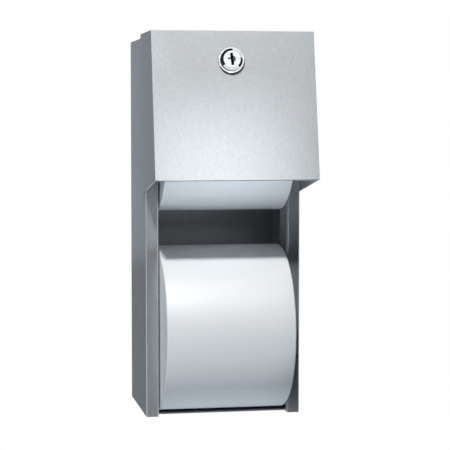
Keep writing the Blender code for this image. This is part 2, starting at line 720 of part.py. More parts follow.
def spindle_spring(name, axis):
    """The coil that presses the two halves of a spindle apart."""
    low = -BARREL_END + BARREL_WALL + SEAM + SPINDLE_SPRING_WIRE
    high = BARREL_END - PLUNGER_HEAD - SEAM - SPINDLE_SPRING_WIRE
    points = coil(SPINDLE_SPRING_RADIUS, low, high, SPINDLE_SPRING_TURNS)
    report_gap(name, points, SPINDLE_SPRING_WIRE)
    return carry(wire_piece(name, points, SPINDLE_SPRING_WIRE, ALONG_X, SPRING_STEEL), axis)


def roll(name, axis):
    """A full roll: the wound tissue and its cardboard core."""
    tissue = rounded_ring(ROLL_RADIUS, CORE_RADIUS + SEAM, HALF_ROLL, ROLL_EDGE)
    core = square_ring(CORE_RADIUS, CORE_INNER, -HALF_ROLL, HALF_ROLL)
    carry(turned(name + "_tissue", tissue, ROLL_STEPS, TISSUE, closed=True, matrix=ALONG_X), axis)
    carry(turned(name + "_core", core, ROLL_STEPS, BOARD, closed=True, matrix=ALONG_X), axis)


# Retaining pawls

def pawl_outline():
    """Outline of a pawl from its hub, in (depth, height) from the pivot, its arm to the front."""
    half = PAWL_ARM_HEIGHT / 2
    lean = math.asin(half / PAWL_HUB_RADIUS)
    start = math.pi + lean
    hub = circle_points((0.0, 0.0), PAWL_HUB_RADIUS, SMALL_STEPS, start, math.tau - 2 * lean)
    tip = circle_points((-PAWL_LENGTH + half, 0.0), half, SMALL_STEPS // 2, math.pi / 2, math.pi)
    return hub + tip


def pawl(side):
    """The pawl under one pin of the reserve spindle. It swings down about its own pin."""
    axis = axis_empty(side_name(side) + "_pawl_axis", (0.0, -PAWL_PIVOT_DEPTH, PAWL_PIVOT_HEIGHT))
    hole = circle_points((0.0, 0.0), PAWL_PIN_RADIUS + RUNNING_GAP, SMALL_STEPS)
    middle = side * (PAWL_OUTER + PAWL_INNER) / 2
    place = Matrix.Translation((middle, 0.0, 0.0)) @ SIDEWAYS
    name = side_name(side) + "_pawl"
    return carry(flat_piece(name, [pawl_outline(), hole], PAWL_THICKNESS, place, PLAIN_STEEL), axis)


def pawl_pin(side):
    """The headed pin that a pawl turns on, fixed in the inner plate."""
    head = PAWL_INNER - RUNNING_GAP
    profile = [
        (0.0, PAWL_PIN_HEAD),
        (PAWL_PIN_HEAD_RADIUS, PAWL_PIN_HEAD),
        (PAWL_PIN_HEAD_RADIUS, 0.0),
        (PAWL_PIN_RADIUS, 0.0),
        (PAWL_PIN_RADIUS, head - PLATE_OUTER),
        (0.0, head - PLATE_OUTER),
    ]
    place = Matrix.Translation((side * head, -PAWL_PIVOT_DEPTH, PAWL_PIVOT_HEIGHT))
    place = place @ Matrix.Rotation(-side * math.pi / 2, 4, "Y")
    return turned(side_name(side) + "_pawl_pin", profile, SMALL_STEPS, PLAIN_STEEL, matrix=place)


def pawl_spring(side):
    """The coil round a pawl's pin that brings the pawl back up."""
    radius = PAWL_PIN_RADIUS + RUNNING_GAP + PAWL_SPRING_WIRE
    outer = PLATE_INNER - SEAM - PAWL_SPRING_WIRE
    inner = PAWL_OUTER + SEAM + PAWL_SPRING_WIRE
    points = coil(radius, inner, outer, PAWL_SPRING_TURNS)
    report_gap(side_name(side) + "_pawl_spring", points, PAWL_SPRING_WIRE)
    place = Matrix.Translation((0.0, -PAWL_PIVOT_DEPTH, PAWL_PIVOT_HEIGHT))
    place = place @ Matrix.Rotation(side * math.pi / 2, 4, "Y")
    return wire_piece(side_name(side) + "_pawl_spring", points, PAWL_SPRING_WIRE, place, SPRING_STEEL)


# Door

def door_shell(axis):
    """The slanted door: front, top and two sides from one folded sheet, with its studs."""
    shape = bmesh.new()
    bmesh.ops.create_cube(shape, size=2 * DOOR_OUTER)
    places = {
        (False, False): (-DOOR_FRONT_LOW_DEPTH, DOOR_FRONT_LOW_HEIGHT),
        (False, True): (-DOOR_FRONT_TOP_DEPTH, DOOR_TOP),
        (True, False): (-DOOR_REAR_LOW_DEPTH, DOOR_REAR_LOW_HEIGHT),
        (True, True): (-DOOR_REAR_TOP_DEPTH, DOOR_TOP),
    }
    open_faces = [face for face in shape.faces if face.normal.y > 0.5 or face.normal.z < -0.5]
    for corner in shape.verts:
        corner.co.y, corner.co.z = places[(corner.co.y > 0, corner.co.z > 0)]
    bmesh.ops.delete(shape, geom=open_faces, context="FACES_ONLY")
    hem_edge = DOOR_OUTER - DOOR_HEM_NOTCH
    for side in (-hem_edge, hem_edge):
        geometry = list(shape.verts) + list(shape.edges) + list(shape.faces)
        bmesh.ops.bisect_plane(shape, geom=geometry, plane_co=(side, 0.0, 0.0), plane_no=(1.0, 0.0, 0.0))
    low_edges = [
        edge for edge in shape.edges
        if all(abs(corner.co.z - DOOR_FRONT_LOW_HEIGHT) < SEAM for corner in edge.verts)
        and all(abs(corner.co.x) < DOOR_OUTER - SEAM for corner in edge.verts)
    ]
    hem = bmesh.ops.extrude_edge_only(shape, edges=low_edges)["geom"]
    inward = Vector((0.0, math.cos(DOOR_SLANT), -math.sin(DOOR_SLANT))) * DOOR_HEM
    bmesh.ops.translate(shape, vec=inward, verts=[item for item in hem if isinstance(item, bmesh.types.BMVert)])
    bmesh.ops.dissolve_limit(shape, angle_limit=math.radians(1.0), verts=shape.verts, edges=shape.edges)
    piece = finish_mesh("door_shell", shape, SATIN_STEEL)
    folds = piece.modifiers.new("folds", "BEVEL")
    folds.width = DOOR_FOLD
    folds.segments = FOLD_STEPS
    folds.limit_method = "ANGLE"
    folds.angle_limit = math.radians(30.0)
    wall = piece.modifiers.new("sheet", "SOLIDIFY")
    wall.thickness = DOOR_SHEET
    wall.offset = -1.0
    wall.use_even_offset = True
    hang_on(piece, axis)
    hole = cylinder_mesh(LOCK_BODY_RADIUS + SEAM, 2 * LOCK_BODY_DEPTH, ROUND_STEPS, lock_frame())
    cut(piece, "lock_hole", hole)
    for side in (-1, 1):
        inner = PLATE_INNER - SEAM - RETAINER_THICKNESS - STUD_TIP
        outer = DOOR_OUTER - DOOR_SHEET / 2
        place = Matrix.Translation((side * (inner + outer) / 2, -PIVOT_DEPTH, PIVOT_HEIGHT)) @ ALONG_X
        join(piece, side_name(side) + "_stud", cylinder_mesh(STUD_RADIUS, outer - inner, ROUND_STEPS, place))
    return piece


def stud_retainer(side, axis):
    """The push-on ring that keeps a door stud in its bore."""
    ring = square_ring(RETAINER_RADIUS, STUD_RADIUS + RUNNING_GAP, 0.0, RETAINER_THICKNESS)
    place = Matrix.Translation((side * (PLATE_INNER - SEAM), 0.0, 0.0)) @ Matrix.Rotation(-side * math.pi / 2, 4, "Y")
    name = side_name(side) + "_stud_retainer"
    return carry(turned(name, ring, ROUND_STEPS, SPRING_STEEL, closed=True, matrix=place), axis)


# Lock

def lock_frame():
    """Place of the lock: on the door's outer face, its Z out of the door and its Y up the face."""
    return (Matrix.Translation((LOCK_SIDE, -LOCK_DEPTH, LOCK_HEIGHT))
            @ Matrix.Rotation(math.pi / 2 - DOOR_SLANT, 4, "X"))


def lock_housing(axis):
    """The body of the lock, with the bevelled head that stands on the door."""
    bore = PLUG_RADIUS + RUNNING_GAP
    tail_bore = PLUG_TAIL_RADIUS + RUNNING_GAP
    floor = -LOCK_BODY_DEPTH + CAM_THICKNESS
    profile = [
        (bore, LOCK_HEAD_HEIGHT),
        (LOCK_FACE_RADIUS, LOCK_HEAD_HEIGHT),
        (LOCK_STEP_RADIUS, LOCK_FLANGE_HEIGHT),
        (LOCK_FLANGE_RADIUS, LOCK_FLANGE_HEIGHT),
        (LOCK_FLANGE_RADIUS, SEAM),
        (LOCK_BODY_RADIUS, SEAM),
        (LOCK_BODY_RADIUS, -LOCK_BODY_DEPTH),
        (tail_bore, -LOCK_BODY_DEPTH),
        (tail_bore, floor),
        (bore, floor),
    ]
    return carry(turned("lock_housing", profile, ROUND_STEPS, CHROME, closed=True), axis)


def lock_nut(axis):
    """The hexagon nut that clamps the lock to the door from inside."""
    outlines = [
        circle_points((0.0, 0.0), LOCK_NUT_RADIUS, 6),
        circle_points((0.0, 0.0), LOCK_BODY_RADIUS + SEAM, ROUND_STEPS),
    ]
    place = Matrix.Translation((0.0, 0.0, -DOOR_SHEET - SEAM - LOCK_NUT_THICKNESS / 2))
    return carry(flat_piece("lock_nut", outlines, LOCK_NUT_THICKNESS, place, PLAIN_STEEL), axis)


def lock_plug(axis):
    """The plug that the key turns, with its keyway and the tail that carries the cam."""
    floor = -LOCK_BODY_DEPTH + CAM_THICKNESS + RUNNING_GAP
    tail_end = -CAM_FRONT - CAM_THICKNESS - RUNNING_GAP
    bore = CAM_SCREW_RADIUS + SEAM
    profile = [
        (0.0, LOCK_HEAD_HEIGHT),
        (PLUG_RADIUS, LOCK_HEAD_HEIGHT),
        (PLUG_RADIUS, floor),
        (PLUG_TAIL_RADIUS, floor),
        (PLUG_TAIL_RADIUS, tail_end),
        (bore, tail_end),
        (bore, tail_end + CAM_SCREW_LENGTH + SEAM),
        (0.0, tail_end + CAM_SCREW_LENGTH + SEAM),
    ]
    plug = carry(turned("lock_plug", profile, ROUND_STEPS, CHROME), axis)
    floor_height = LOCK_HEAD_HEIGHT - KEYWAY_DEPTH
    top = LOCK_HEAD_HEIGHT + OVERRUN
    slot = box_mesh((-KEYWAY_WIDTH / 2, -KEYWAY_HEIGHT / 2, floor_height), (KEYWAY_WIDTH / 2, KEYWAY_HEIGHT / 2, top))
    ward = box_mesh((-KEYWAY_WARD, 0.0, floor_height), (0.0, KEYWAY_WARD_HEIGHT, top))
    dish_low = LOCK_HEAD_HEIGHT - KEYWAY_DISH_DEPTH
    dish = cylinder_mesh(KEYWAY_DISH_RADIUS, top - dish_low, SMALL_STEPS,
                         Matrix.Translation((0.0, 0.0, (top + dish_low) / 2)))
    geometry = list(dish.verts) + list(dish.edges) + list(dish.faces)
    bmesh.ops.bisect_plane(dish, geom=geometry, plane_co=(0.0, 0.0, 0.0), plane_no=(-1.0, 0.0, 0.0), clear_outer=True)
    bmesh.ops.holes_fill(dish, edges=[edge for edge in dish.edges if edge.is_boundary], sides=0)
    for name, shape in (("keyway_slot", slot), ("keyway_ward", ward), ("keyway_dish", dish)):
        turn = lock_frame() @ Matrix.Rotation(KEYWAY_TILT, 4, "Z")
        bmesh.ops.transform(shape, matrix=turn, verts=shape.verts)
        cut(plug, name, shape)
    return plug


def lock_cam(axis):
    """The cam on the plug's tail. It lies sideways when open and points up when locked."""
    half = CAM_WIDTH / 2
    tip = circle_points((CAM_LENGTH - half, 0.0), half, SMALL_STEPS // 2, -math.pi / 2, math.pi)
    heel = circle_points((0.0, 0.0), half, SMALL_STEPS // 2, math.pi / 2, math.pi)
    hole = circle_points((0.0, 0.0), PLUG_TAIL_RADIUS + RUNNING_GAP, ROUND_STEPS)
    place = Matrix.Translation((0.0, 0.0, -CAM_FRONT - CAM_THICKNESS / 2))
    return carry(flat_piece("lock_cam", [tip + heel, hole], CAM_THICKNESS, place, PLAIN_STEEL), axis)


def cam_screw(axis):
    """The screw that holds the cam on the plug."""
    head = -CAM_FRONT - CAM_THICKNESS - 2 * RUNNING_GAP
    profile = [
        (0.0, head + CAM_SCREW_LENGTH),
        (CAM_SCREW_RADIUS, head + CAM_SCREW_LENGTH),
        (CAM_SCREW_RADIUS, head),
        (CAM_SCREW_HEAD_RADIUS, head),
        (CAM_SCREW_HEAD_RADIUS, head - CAM_SCREW_HEAD / 2),
        (CAM_SCREW_HEAD_RADIUS - CAM_SCREW_HEAD / 2, head - CAM_SCREW_HEAD),
        (0.0, head - CAM_SCREW_HEAD),
    ]
    return carry(turned("cam_screw", profile, SMALL_STEPS, PLAIN_STEEL), axis)


def catch_top():
    """Height of the catch's tongue."""
    return CABINET_HEIGHT - CATCH_DROP


def catch_rivet_height():
    """Height of the two rivets in the catch's foot."""
    return catch_top() + CATCH_FOLD + CATCH_RIVET_HEAD + SEAM


def catch_front():
    """Depth of the catch's lip, just in front of the cam when the cam points up."""
    cam_front = lock_frame() @ Vector((0.0, CAM_LENGTH - CAM_WIDTH / 2, -CAM_FRONT))
    return -cam_front.y + CATCH_CAM_GAP + CATCH_SHEET


def lock_catch():
    """The folded bracket on the cabinet that the cam hooks behind."""
    foot = -CABINET_DEPTH - SEAM - CATCH_SHEET
    profile = [
        (foot, catch_top() + CATCH_FOOT),
        (foot, catch_top()),
        (-catch_front(), catch_top()),
        (-catch_front(), catch_top() - CATCH_LIP),
    ]
    low = LOCK_SIDE - CATCH_WIDTH / 2
    high = LOCK_SIDE + CATCH_WIDTH / 2
    catch = folded_sheet("lock_catch", profile, "X", low, high, CATCH_SHEET, CATCH_FOLD, True, PLAIN_STEEL)
    for side in (-CATCH_RIVET_SPREAD, CATCH_RIVET_SPREAD):
        place = Matrix.Translation((LOCK_SIDE + side, foot, catch_rivet_height()))
        place = place @ Matrix.Rotation(math.pi / 2, 4, "X")
        hole = cylinder_mesh(CATCH_RIVET_SHANK + SEAM, 2 * CATCH_SHEET + OVERRUN, SMALL_STEPS, place)
        cut(catch, "catch_rivet_hole", hole)
    return catch


def catch_rivets():
    """The two rivets that hold the catch to the top's lip."""
    grip = CATCH_SHEET + 2 * SEAM + CABINET_SHEET
    for name, side in (("left_catch_rivet", -CATCH_RIVET_SPREAD), ("right_catch_rivet", CATCH_RIVET_SPREAD)):
        front = -CABINET_DEPTH - 2 * SEAM - CATCH_SHEET
        place = Matrix.Translation((LOCK_SIDE + side, front, catch_rivet_height()))
        place = place @ Matrix.Rotation(math.pi / 2, 4, "X")
        rivet(name, CATCH_RIVET_HEAD, CATCH_RIVET_SHANK, grip, place)


# Assembly

def build_cabinet():
    """Everything that stays on the wall."""
    back_panel()
    top_panel()
    bottom_pan()
    lock_catch()
    catch_rivets()
    for side in (-1, 1):
        side_panel(side)
        inner_plate(side)
        spindle_seat(side)
        pawl_pin(side)
        pawl_spring(side)
        for which in ("front", "rear"):
            rail(side, which)
            rail_rivets(side, which)


def build_roll_set(name, roll_height):
    """A roll with its spindle, which rolls and spindle share but for the axes that they turn on."""
    roll_axis = axis_empty(name + "_roll_axis", (0.0, -ROLL_DEPTH, roll_height))
    spindle_axis = axis_empty(name + "_spindle_axis", (0.0, -ROLL_DEPTH, roll_height + SPINDLE_RISE))
    roll(name + "_roll", roll_axis)
    spindle_barrel(name + "_spindle_barrel", spindle_axis)
    spindle_plunger(name + "_spindle_plunger", spindle_axis)
    spindle_spring(name + "_spindle_spring", spindle_axis)


def build_door():
    """The door and the pieces that swing with it."""
    axis = axis_empty("door_axis", (0.0, -PIVOT_DEPTH, PIVOT_HEIGHT))
    door_shell(axis)
    for side in (-1, 1):
        stud_retainer(side, axis)


def build_lock():
    """The lock: its housing and nut stay on the door, and the plug turns the cam."""
    axis = axis_empty("lock_axis", (LOCK_SIDE, -LOCK_DEPTH, LOCK_HEIGHT), math.pi / 2 - DOOR_SLANT)
    lock_housing(axis)
    lock_nut(axis)
    lock_plug(axis)
    lock_cam(axis)
    cam_screw(axis)


def centre_on_wall():
    """Lower everything, so that the origin lies in the middle of the back's wall face."""
    everything = list(PARTS.objects) + list(CUTTERS.objects)
    middle = axis_empty("wall_middle", (0.0, 0.0, -WALL_MIDDLE))
    for item in everything:
        if item.parent is None:
            item.parent = middle


def print_axes():
    """Print the places that the joints turn on, in metres."""
    lock = lock_frame()
    print("door pivot", round(-PIVOT_DEPTH, 6), round(PIVOT_HEIGHT - WALL_MIDDLE, 6))
    print("lock", [round(value, 6) for value in (LOCK_SIDE, -LOCK_DEPTH, LOCK_HEIGHT - WALL_MIDDLE)])
    print("lock axis", [round(value, 6) for value in lock.col[2][:3]])
    for height in (LOWER_ROLL_HEIGHT, RESERVE_ROLL_HEIGHT):
        print("roll axis", round(-ROLL_DEPTH, 6), round(height - WALL_MIDDLE, 6))
        print("spindle axis", round(-ROLL_DEPTH, 6), round(height + SPINDLE_RISE - WALL_MIDDLE, 6))
    print("pawl pivot", round(-PAWL_PIVOT_DEPTH, 6), round(PAWL_PIVOT_HEIGHT - WALL_MIDDLE, 6))
    print("pawl swing per metre of drop", round(PAWL_SWING / RESERVE_DROP, 4))


build_cabinet()
build_roll_set("lower", LOWER_ROLL_HEIGHT)
build_roll_set("reserve", RESERVE_ROLL_HEIGHT)
for pawl_side in (-1, 1):
    pawl(pawl_side)
build_door()
build_lock()
centre_on_wall()
print_axes()
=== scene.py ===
"""Looks of a wall-hung twin-roll toilet paper dispenser.

The cabinet and its slanted door are satin stainless steel sheet. Two rolls of tissue hang
in it on moulded spindles, and a chrome-plated cam lock sits in the door.
"""
import json
import math

import bmesh
import bpy
from mathutils import Matrix, Vector


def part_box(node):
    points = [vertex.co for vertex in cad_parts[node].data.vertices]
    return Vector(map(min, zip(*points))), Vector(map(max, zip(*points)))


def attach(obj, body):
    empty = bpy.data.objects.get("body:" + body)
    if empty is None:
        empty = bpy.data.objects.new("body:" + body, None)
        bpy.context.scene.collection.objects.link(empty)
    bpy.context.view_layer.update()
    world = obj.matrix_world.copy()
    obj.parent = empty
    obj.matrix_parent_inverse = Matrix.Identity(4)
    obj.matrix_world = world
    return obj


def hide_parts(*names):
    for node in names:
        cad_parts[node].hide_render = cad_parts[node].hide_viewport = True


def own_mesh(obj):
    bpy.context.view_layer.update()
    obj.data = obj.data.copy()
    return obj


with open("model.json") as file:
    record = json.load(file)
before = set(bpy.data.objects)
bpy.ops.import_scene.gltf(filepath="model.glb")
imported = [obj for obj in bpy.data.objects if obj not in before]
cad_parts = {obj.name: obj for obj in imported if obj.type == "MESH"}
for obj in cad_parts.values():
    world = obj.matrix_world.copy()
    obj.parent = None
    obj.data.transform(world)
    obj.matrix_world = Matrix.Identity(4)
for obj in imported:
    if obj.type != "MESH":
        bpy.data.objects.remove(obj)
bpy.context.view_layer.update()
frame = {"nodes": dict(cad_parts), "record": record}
NODES = frame["nodes"]
MM = 0.001

# Places in the row frame, as in the part's source
ROLL_RADIUS = 66.7 * MM
HALF_ROLL = 51.2 * MM
CORE_RADIUS = 22.0 * MM
LOWER_ROLL_AXIS = (-69.3 * MM, -82.6 * MM)
RESERVE_ROLL_AXIS = (-69.3 * MM, 79.5 * MM)
HOOD_HALF = 63.5 * MM
HOOD_TOP = 154.0 * MM
HOOD_SHEET = 0.8 * MM
HOOD_FRONT_TOP = -137.8 * MM
HOOD_FRONT_LOW = (-160.0 * MM, 40.4 * MM)
HOOD_REAR_TOP = -74.2 * MM
HOOD_REAR_LOW = (-83.4 * MM, 26.8 * MM)
HOOD_HEM = 5.0 * MM
HOOD_HEM_NOTCH = 2.0 * MM
HOOD_SLANT = math.atan2(HOOD_FRONT_TOP - HOOD_FRONT_LOW[0], HOOD_TOP - HOOD_FRONT_LOW[1])
PIVOT = (-89.5 * MM, 36.0 * MM)
LOCK_PLACE = (-2.4 * MM, -142.236 * MM, 131.302 * MM)
ALONG_X = Matrix.Rotation(math.pi / 2, 4, "Y")
# Two places as close as this count as one
NEAR = 0.1 * MM


# Node helpers

def linear(hex_colour):
    """An sRGB hex colour as the linear colour that a shader takes."""
    values = [int(hex_colour[start:start + 2], 16) / 255 for start in (1, 3, 5)]
    straight = [v / 12.92 if v <= 0.04045 else ((v + 0.055) / 1.055) ** 2.4 for v in values]
    return (*straight, 1.0)


def node(owner, kind, settings=None, **inputs):
    """Add a node to a material or world, with its settings, and its inputs set or linked.

    An input goes by its label, with _ for a space, or by its number, as in i0.
    """
    made = owner.node_tree.nodes.new(kind)
    for name, value in (settings or {}).items():
        setattr(made, name, value)
    for name, value in inputs.items():
        if name.startswith("i") and name[1:].isdigit():
            socket = made.inputs[int(name[1:])]
        else:
            socket = made.inputs[name.replace("_", " ")]
        if isinstance(value, bpy.types.NodeSocket):
            owner.node_tree.links.new(value, socket)
        else:
            socket.default_value = value
    return made


def empty_material(name):
    """A material without nodes."""
    material = bpy.data.materials.new(name)
    material.use_nodes = True
    material.node_tree.nodes.clear()
    return material


def object_place(material):
    """The place on the object that a pattern goes by, in metres."""
    return node(material, "ShaderNodeTexCoord").outputs["Object"]


def noise(material, place, scale, detail, roughness):
    """A noise pattern with scale cells to the metre."""
    made = node(material, "ShaderNodeTexNoise", Vector=place, Scale=scale, Detail=detail,
                Roughness=roughness)
    return made.outputs["Fac"]


def cells(material, place, scale):
    """A pattern of patches, scale to the metre, as the distance from each patch's middle."""
    return node(material, "ShaderNodeTexVoronoi", Vector=place, Scale=scale).outputs["Distance"]


def colour_between(material, factor, low, high, start=0.3, end=0.7):
    """A colour that runs from one hex colour to another as the factor goes from start to end."""
    ramp = node(material, "ShaderNodeValToRGB", Fac=factor)
    for element, place, colour in zip(ramp.color_ramp.elements, (start, end), (low, high)):
        element.position = place
        element.color = linear(colour)
    return ramp.outputs["Color"]


def value_between(material, factor, low, high, start=0.3, end=0.7):
    """A value that runs from low to high as the factor goes from start to end."""
    ranged = node(material, "ShaderNodeMapRange", Value=factor, From_Min=start, From_Max=end,
                  To_Min=low, To_Max=high)
    return ranged.outputs[0]


def relief(material, height, strength, depth):
    """The surface's direction where a pattern of a given depth stands out from it."""
    made = node(material, "ShaderNodeBump", Strength=strength, Distance=depth, Height=height)
    return made.outputs[0]


def surfaced(material, **inputs):
    """The material with its shader, whose inputs are set or linked."""
    shader = node(material, "ShaderNodeBsdfPrincipled", **inputs)
    node(material, "ShaderNodeOutputMaterial", Surface=shader.outputs[0])
    return material


# Shape helpers

def of_kind(kind, items):
    """The items of one kind, such as faces, out of what an operator made."""
    return [item for item in items if isinstance(item, kind)]


def paint_faces(items, material_index):
    """Give the faces among the items one of their piece's materials."""
    for face in of_kind(bmesh.types.BMFace, items):
        face.material_index = material_index


def add_shape(shape, other):
    """Add another shape to this one, and free it."""
    mesh = bpy.data.meshes.new("added_shape")
    other.to_mesh(mesh)
    other.free()
    shape.from_mesh(mesh)
    bpy.data.meshes.remove(mesh)


def turned(profile, steps, matrix, round_corners=(), radius=0.0, closed=False):
    """A shape spun round Z from (radius, height) points, some corners rounded, put in its place."""
    shape = bmesh.new()
    corners = [shape.verts.new((out, 0.0, height)) for out, height in profile]
    pairs = list(zip(corners, corners[1:]))
    if closed:
        pairs.append((corners[-1], corners[0]))
    for pair in pairs:
        shape.edges.new(pair)
    if round_corners:
        bmesh.ops.bevel(shape, geom=[corners[index] for index in round_corners], offset=radius,
                        offset_type="OFFSET", segments=4, profile=0.5, affect="VERTICES",
                        material=-1)
    bmesh.ops.spin(shape, geom=list(shape.verts) + list(shape.edges), cent=(0.0, 0.0, 0.0),
                   axis=(0.0, 0.0, 1.0), angle=math.tau, steps=steps, use_merge=True)
    bmesh.ops.remove_doubles(shape, verts=shape.verts, dist=1e-7)
    bmesh.ops.recalc_face_normals(shape, faces=shape.faces)
    bmesh.ops.transform(shape, matrix=matrix, verts=shape.verts)
    return shape


def piece(name, shape, materials, body, nodes=(), smooth_under=35.0):
    """Make a shape a piece that rides a body and stands for CAD nodes.

    It is shaded smooth where it bends by fewer degrees than smooth_under.
    """
    mesh = bpy.data.meshes.new(name)
    shape.to_mesh(mesh)
    shape.free()
    for finish in materials:
        mesh.materials.append(finish)
    if smooth_under:
        for polygon in mesh.polygons:
            polygon.use_smooth = True
        mesh.set_sharp_from_angle(angle=math.radians(smooth_under))
    made = bpy.data.objects.new(name, mesh)
    bpy.context.scene.collection.objects.link(made)
    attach(made, body)
    if nodes:
        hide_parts(*nodes)
    return made


# Camera

# Fitted to the object's outline in the photograph
CAMERA_PLACE = (-0.22317, -1.32979, 0.0872)
DEGREES_DOWN = 3.89
DEGREES_RIGHT = 10.31
LENS_MM = 125.81
SENSOR_MM = 36.0


def make_camera():
    """The photograph's view: from the left, a little above, through a long lens."""
    data = bpy.data.cameras.new("photo_camera")
    data.sensor_width = SENSOR_MM
    data.lens = LENS_MM
    camera = bpy.data.objects.new("photo_camera", data)
    bpy.context.scene.collection.objects.link(camera)
    camera.location = CAMERA_PLACE
    camera.rotation_euler = (math.radians(90.0 - DEGREES_DOWN), 0.0, math.radians(-DEGREES_RIGHT))
    bpy.context.scene.camera = camera


make_camera()


# Materials

def satin_stainless_steel():
    """Stainless steel sheet with a fine satin grain: a soft grey metal with tiny streaks."""
    material = empty_material("satin_stainless_steel")
    place = object_place(material)
    stretch = node(material, "ShaderNodeMapping", Vector=place, Scale=(1.0, 1.0, 0.45))
    grain = noise(material, stretch.outputs[0], 700.0, 4.0, 0.65)
    clouds = noise(material, place, 18.0, 4.0, 0.55)
    return surfaced(material, Base_Color=colour_between(material, grain, "#C8CDD1", "#D6DADD"),
                    Metallic=0.72, Roughness=value_between(material, clouds, 0.28, 0.32),
                    Normal=relief(material, grain, 0.12, 0.04 * MM))


def zinc_plated_steel():
    """Zinc-plated steel of the inner fittings: a dull bluish metal with faint crystal patches."""
    material = empty_material("zinc_plated_steel")
    patches = cells(material, object_place(material), 160.0)
    return surfaced(material,
                    Base_Color=colour_between(material, patches, "#C0C5C8", "#CED2D5", 0.0, 0.7),
                    Metallic=0.35, Roughness=value_between(material, patches, 0.42, 0.55, 0.0, 0.7))


def galvanised_steel():
    """Galvanised steel of the inner plates: pale, matt and faintly mottled by its spangle."""
    material = empty_material("galvanised_steel")
    spangle = cells(material, object_place(material), 120.0)
    return surfaced(material,
                    Base_Color=colour_between(material, spangle, "#DCE0E2", "#E8EBEC", 0.0, 0.7),
                    Metallic=0.05, Roughness=0.7)


def phosphated_steel():
    """Phosphated steel of the rails: a darker grey with a fine crystalline dullness."""
    material = empty_material("phosphated_steel")
    crystals = noise(material, object_place(material), 1100.0, 3.0, 0.6)
    return surfaced(material, Base_Color=colour_between(material, crystals, "#A4A9AD", "#B0B5B9"),
                    Metallic=0.2, Roughness=0.6)


def chrome_plate():
    """Chrome plate on a zinc die casting: a clear mirror with hardly any orange peel."""
    material = empty_material("chrome_plated_zinc")
    peel = noise(material, object_place(material), 500.0, 2.0, 0.5)
    return surfaced(material, Base_Color=linear("#E3E5E8"), Metallic=1.0,
                    Roughness=value_between(material, peel, 0.06, 0.12),
                    Normal=relief(material, peel, 0.04, 0.05 * MM))


def spring_steel():
    """Oiled spring steel wire: a dark metal with drawn streaks."""
    material = empty_material("oiled_spring_steel")
    streaks = noise(material, object_place(material), 900.0, 2.0, 0.5)
    return surfaced(material, Base_Color=colour_between(material, streaks, "#4C4F52", "#6A6E71"),
                    Metallic=1.0, Roughness=0.35)


def moulded_abs():
    """Moulded ABS of the spindles and seats: light grey plastic with a fine eroded texture."""
    material = empty_material("moulded_abs")
    sparks = noise(material, object_place(material), 1400.0, 2.0, 0.6)
    return surfaced(material, Base_Color=colour_between(material, sparks, "#B4B6B6", "#C0C2C2"),
                    Roughness=0.5, Normal=relief(material, sparks, 0.2, 0.03 * MM))


def tissue_paper(name, axis):
    """Bleached tissue wound on a roll: matt white with short fibres, and fine rings at the ends."""
    material = empty_material(name)
    place = object_place(material)
    fibres = noise(material, place, 900.0, 4.0, 0.7)
    centred = node(material, "ShaderNodeMapping", Vector=place, Location=(0.0, -axis[0], -axis[1]))
    # The plies are 0.2 mm thick, drawn here as rings 2 mm apart, wide enough to show.
    plies = node(material, "ShaderNodeTexWave", {"wave_type": "RINGS", "rings_direction": "X"},
                 Vector=centred.outputs[0], Scale=160.0, Distortion=1.2, Detail=2.0,
                 Detail_Scale=3.0)
    height = node(material, "ShaderNodeMath", {"operation": "MULTIPLY_ADD"},
                  i0=plies.outputs["Fac"], i1=0.8, i2=fibres)
    return surfaced(material, Base_Color=colour_between(material, fibres, "#ECF0F3", "#F6F9FA"),
                    Roughness=0.50, Specular_IOR_Level=1.0,
                    Normal=relief(material, height.outputs[0], 0.25, 0.05 * MM))


def grey_board():
    """Grey cardboard of the cores: matt recycled board with darker flecks."""
    material = empty_material("grey_cardboard")
    flecks = noise(material, object_place(material), 700.0, 4.0, 0.7)
    return surfaced(material, Base_Color=colour_between(material, flecks, "#857A6B", "#A79C8C"),
                    Roughness=0.9)


def recess_zinc_painted_shade():
    """Zinc die casting on the keyway's recess floor, darkened as painted shade: dull dark grey,
    slightly rough.
    """
    material = empty_material("zinc_recess_painted_shade")
    grit = noise(material, object_place(material), 2500.0, 2.0, 0.6)
    return surfaced(material, Base_Color=colour_between(material, grit, "#3E4042", "#545659"),
                    Metallic=0.5, Roughness=0.55)


def black_nylon():
    """Moulded black nylon: nearly black, with a dull even sheen; on the lock it is painted shade
    and painted shadow.
    """
    material = empty_material("moulded_black_nylon")
    skin = noise(material, object_place(material), 1200.0, 2.0, 0.6)
    return surfaced(material, Base_Color=colour_between(material, skin, "#161718", "#202122"),
                    Roughness=0.6)


def keyway_slot_painted_shade():
    """Painted shade deep in the keyway's slot: nearly black and dull, with no sheen."""
    material = empty_material("keyway_slot_painted_shade")
    dust = noise(material, object_place(material), 1500.0, 2.0, 0.6)
    return surfaced(material, Base_Color=colour_between(material, dust, "#0B0A09", "#1B1813"),
                    Roughness=0.8, Specular_IOR_Level=0.0)


STAINLESS = satin_stainless_steel()
ZINC = zinc_plated_steel()
GALVANISED = galvanised_steel()
PHOSPHATED = phosphated_steel()
CHROME = chrome_plate()
SPRING = spring_steel()
ABS = moulded_abs()
LOWER_TISSUE = tissue_paper("wound_tissue_lower", LOWER_ROLL_AXIS)
RESERVE_TISSUE = tissue_paper("wound_tissue_reserve", RESERVE_ROLL_AXIS)
BOARD = grey_board()
RECESS_PAINTED_SHADE = recess_zinc_painted_shade()
KEYWAY_PAINTED_SHADE = keyway_slot_painted_shade()
# Black for the lock's painted shade and painted shadow
BLACK_NYLON_PAINTED_SHADE = black_nylon()

SLOT_MATERIALS = {
    "satin_steel": STAINLESS,
    "plain_steel": ZINC,
    "chrome": CHROME,
    "spring_steel": SPRING,
    "moulded_plastic": ABS,
    "tissue": LOWER_TISSUE,
    "cardboard": BOARD,
}


